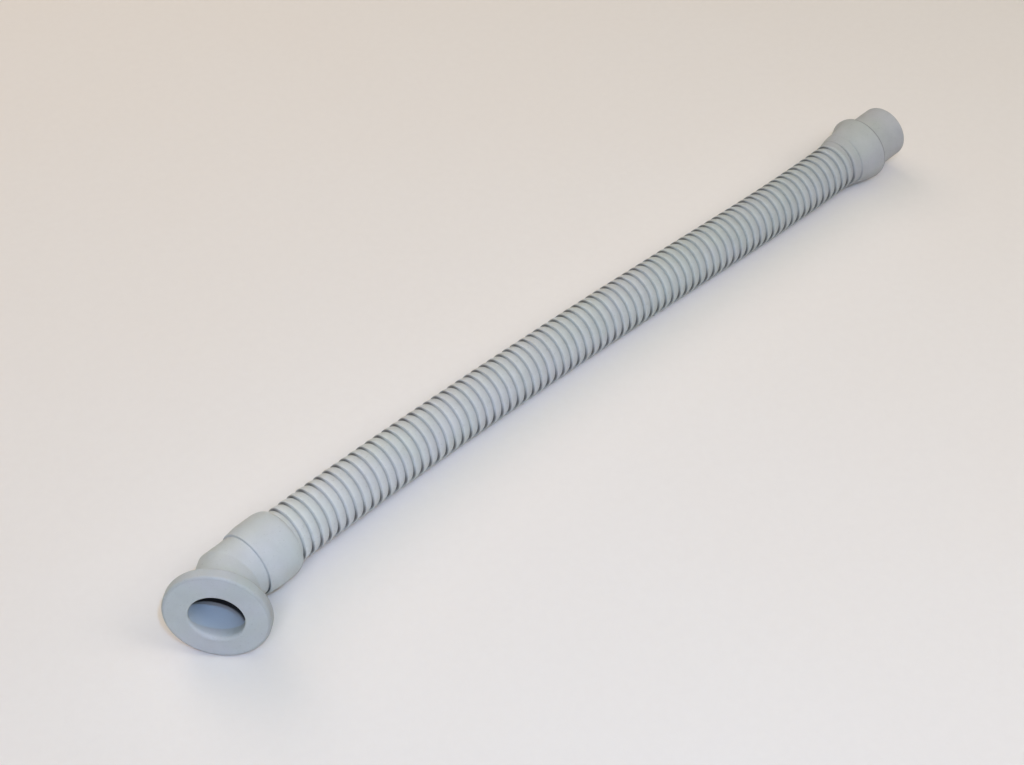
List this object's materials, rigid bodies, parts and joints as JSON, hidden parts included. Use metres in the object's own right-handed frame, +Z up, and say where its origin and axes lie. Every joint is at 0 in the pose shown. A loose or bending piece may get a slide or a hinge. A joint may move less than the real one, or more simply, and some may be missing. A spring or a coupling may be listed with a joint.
{
  "type": "washer vent hose",
  "caption": "Corrugated flexible vent hose with a mitred rubber elbow and round flange at one end and a stepped push-in cuff at the other",
  "frame": {"origin": "on the floor under the middle of the part's length and width", "axes": "+X runs along the hose from the flange elbow to the straight cuff, +Z is up, and the flange faces -X and -Y"},
  "size_m": [0.5964, 0.0648, 0.0551],
  "materials": {
    "elbow_rubber": "smooth matte pale blue-grey moulded rubber",
    "hose_plastic": "soft satin pale grey corrugated plastic",
    "cuff_rubber": "smooth matte warm grey moulded rubber"
  },
  "bodies": {
    "root": {"elbow_connector": "elbow_rubber", "corrugated_hose": "hose_plastic", "straight_connector": "cuff_rubber"}
  },
  "joints": []
}
